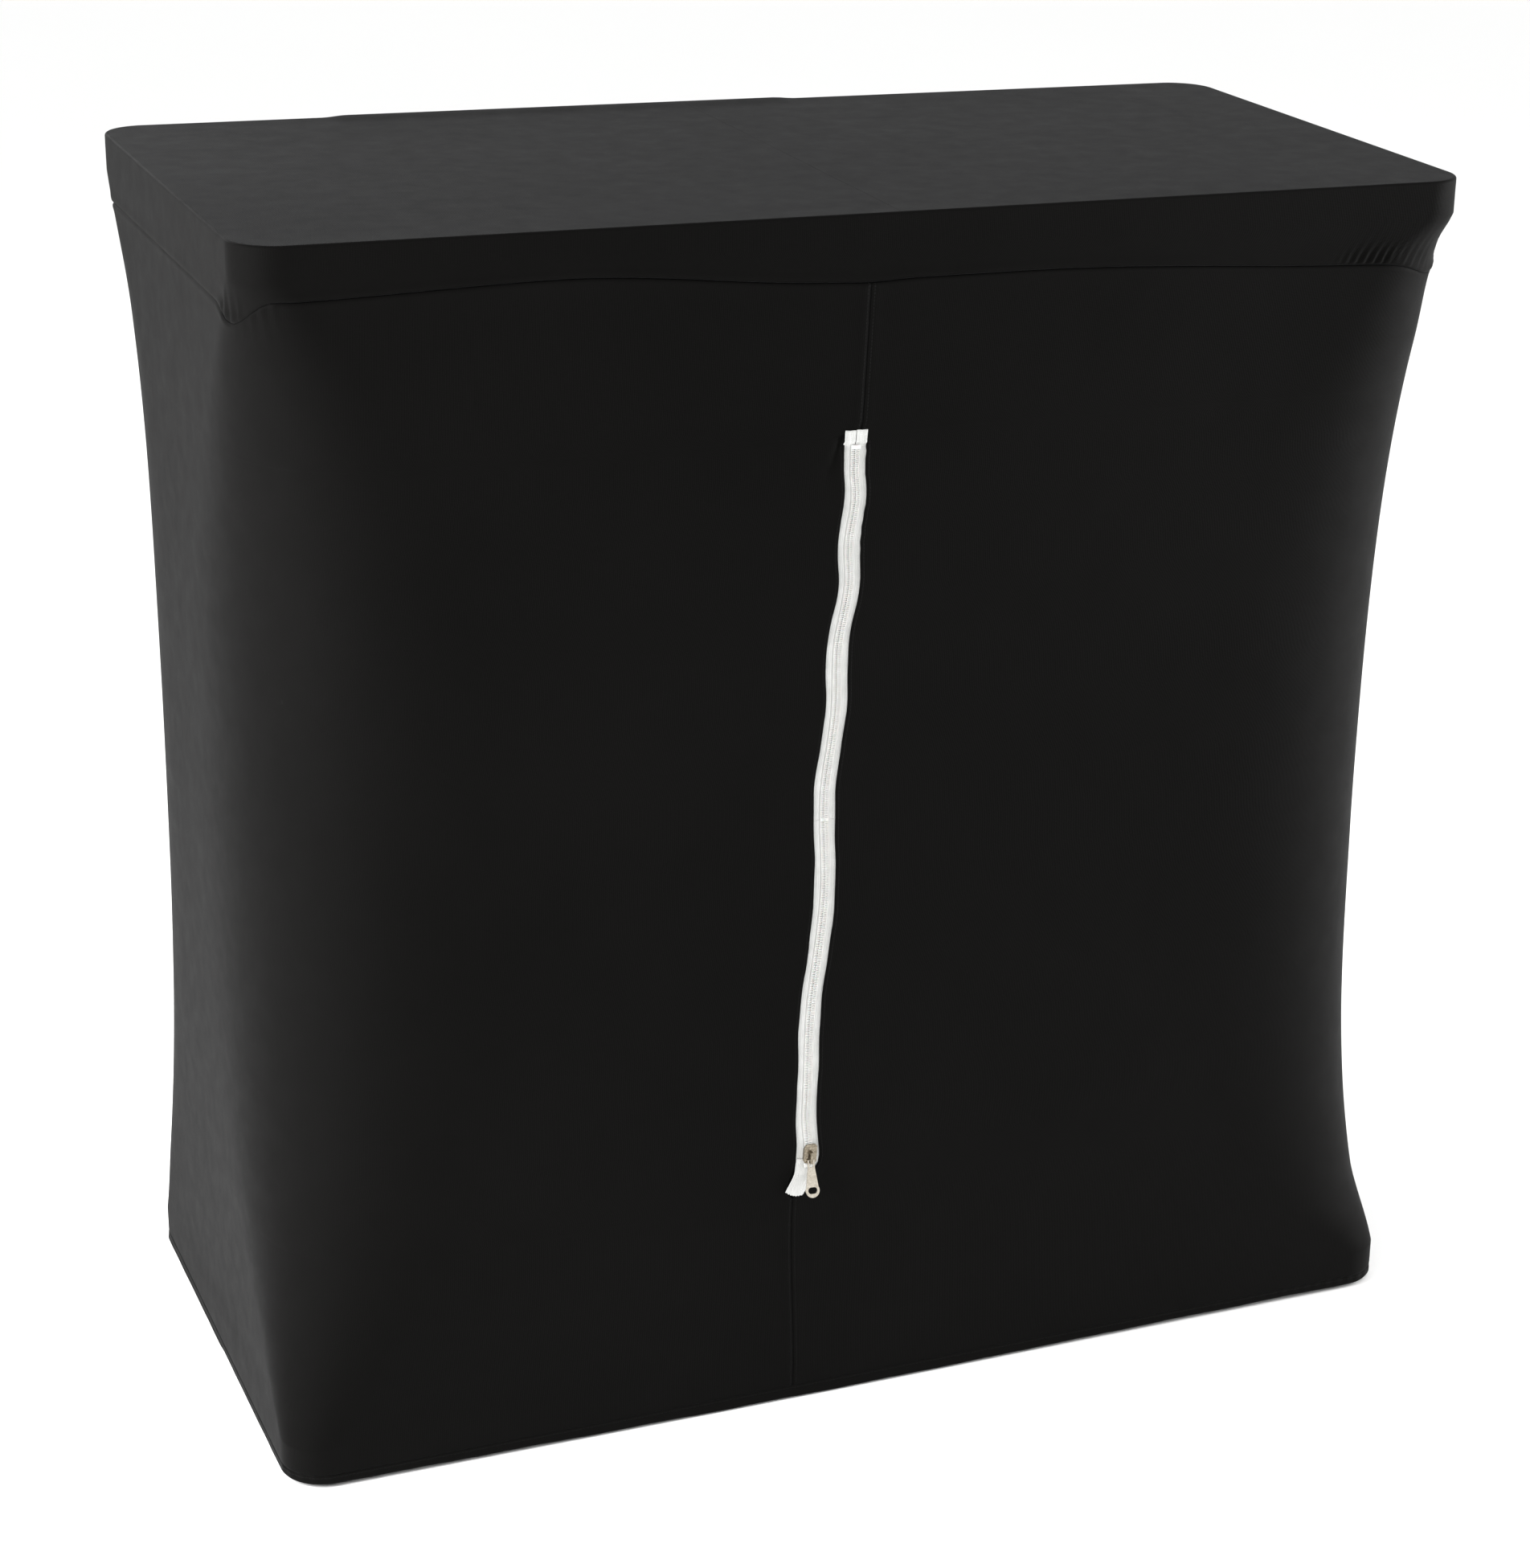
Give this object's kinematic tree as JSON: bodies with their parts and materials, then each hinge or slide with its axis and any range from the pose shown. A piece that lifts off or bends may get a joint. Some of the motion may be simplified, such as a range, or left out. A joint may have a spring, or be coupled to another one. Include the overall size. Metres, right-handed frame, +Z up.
{
  "type": "fabric covered counter enclosure",
  "caption": "Free-standing closed box enclosure: black stretch cover with a long white front zip over a flat top, a base board and uprights that hide inside.",
  "frame": {"origin": "centre of the footprint, on the floor", "axes": "+Z up, +X to the right seen from the front, front (zip side) towards -Y"},
  "size_m": [1, 0.5044, 1],
  "materials": {
    "stretch_fabric": "black stretch knit, slightly sheen at a low angle",
    "zip_tape": "white woven tape",
    "zip_coil": "white nylon coil",
    "slider_metal": "nickel-plated casting, satin",
    "board": "raw board under the cover",
    "upright_tube": "satin anodised",
    "socket_plastic": "moulded nylon",
    "zinc_hardware": "zinc plated",
    "insert_brass": "plain",
    "foot_rubber": "matt",
    "elastic": "woven elastic"
  },
  "bodies": {
    "frame": {"top_board": "board", "base_board": "board", "shelf": "board", "lower_upright_front_left": "upright_tube", "lower_upright_front_right": "upright_tube", "lower_upright_rear_left": "upright_tube", "lower_upright_rear_right": "upright_tube", "upper_upright_front_left": "upright_tube", "upper_upright_front_right": "upright_tube", "upper_upright_rear_left": "upright_tube", "upper_upright_rear_right": "upright_tube", "base_sockets": "socket_plastic", "base_socket_screws": "zinc_hardware", "top_sockets": "socket_plastic", "top_socket_screws": "zinc_hardware", "lower_upright_plugs": "socket_plastic", "upper_upright_plugs": "socket_plastic", "shelf_studs": "zinc_hardware", "foot_inserts": "insert_brass", "cover_cap": "stretch_fabric", "cover_sleeve_left": "stretch_fabric", "cover_sleeve_right": "stretch_fabric", "hem_casing": "stretch_fabric", "hem_elastic": "elastic", "zip_tape_left": "zip_tape", "zip_tape_right": "zip_tape", "zip_coil_left": "zip_coil", "zip_coil_right": "zip_coil", "zip_top_stop": "zip_coil", "zip_bottom_stop": "zip_coil"},
    "foot_front_left": {"foot_pad_front_left": "foot_rubber", "foot_stud_front_left": "zinc_hardware"},
    "foot_front_right": {"foot_pad_front_right": "foot_rubber", "foot_stud_front_right": "zinc_hardware"},
    "foot_rear_left": {"foot_pad_rear_left": "foot_rubber", "foot_stud_rear_left": "zinc_hardware"},
    "foot_rear_right": {"foot_pad_rear_right": "foot_rubber", "foot_stud_rear_right": "zinc_hardware"},
    "slider": {"zip_slider": "slider_metal"},
    "front_pull": {"zip_front_pull": "slider_metal"},
    "rear_pull": {"zip_rear_pull": "slider_metal"}
  },
  "joints": [
    {"name": "zip_slide", "type": "slide", "parent": "frame", "child": "slider", "axis": [0.0495, 0, 0.9988], "range_m": [0, 0.583]},
    {"name": "front_pull_swing", "type": "hinge", "parent": "slider", "child": "front_pull", "pos_m": [-0.06197, -0.24885, 0.22241], "axis": [-0.9988, 0, 0.0495], "range_deg": [0, 105]},
    {"name": "rear_pull_swing", "type": "hinge", "parent": "slider", "child": "rear_pull", "pos_m": [-0.06197, -0.24075, 0.22241], "axis": [0.9988, 0, -0.0495], "range_deg": [0, 105]},
    {"name": "foot_turn_front_left", "type": "hinge", "parent": "frame", "child": "foot_front_left", "pos_m": [-0.44, -0.185, 0], "axis": [0, 0, 1], "continuous": true},
    {"name": "foot_turn_front_right", "type": "hinge", "parent": "frame", "child": "foot_front_right", "pos_m": [0.44, -0.185, 0], "axis": [0, 0, 1], "continuous": true},
    {"name": "foot_turn_rear_left", "type": "hinge", "parent": "frame", "child": "foot_rear_left", "pos_m": [-0.44, 0.185, 0], "axis": [0, 0, 1], "continuous": true},
    {"name": "foot_turn_rear_right", "type": "hinge", "parent": "frame", "child": "foot_rear_right", "pos_m": [0.44, 0.185, 0], "axis": [0, 0, 1], "continuous": true}
  ]
}
